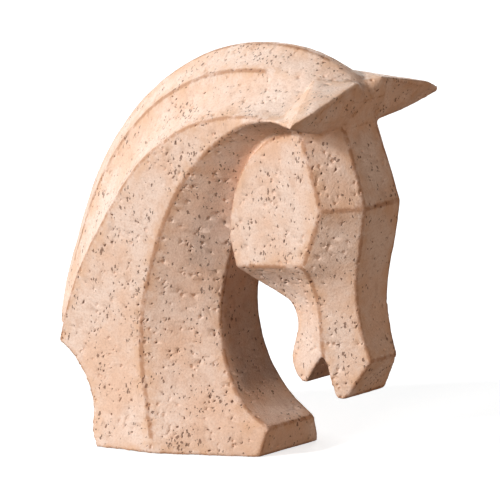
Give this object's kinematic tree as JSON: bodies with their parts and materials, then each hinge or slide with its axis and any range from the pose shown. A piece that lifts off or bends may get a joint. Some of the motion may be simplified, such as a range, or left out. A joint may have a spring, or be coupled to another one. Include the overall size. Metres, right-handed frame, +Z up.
{
  "type": "horse head ornament",
  "caption": "Faceted stone horse head on its own neck block, a standing ornament for a shelf or table.",
  "frame": {"origin": "centre of the base's flat underside, on the surface it stands on", "axes": "+X is the way the horse looks, +Y is the horse's left, +Z is up"},
  "size_m": [0.2667, 0.158, 0.27],
  "materials": {
    "stone": null
  },
  "bodies": {
    "root": {"horse_head": "stone"}
  },
  "joints": []
}
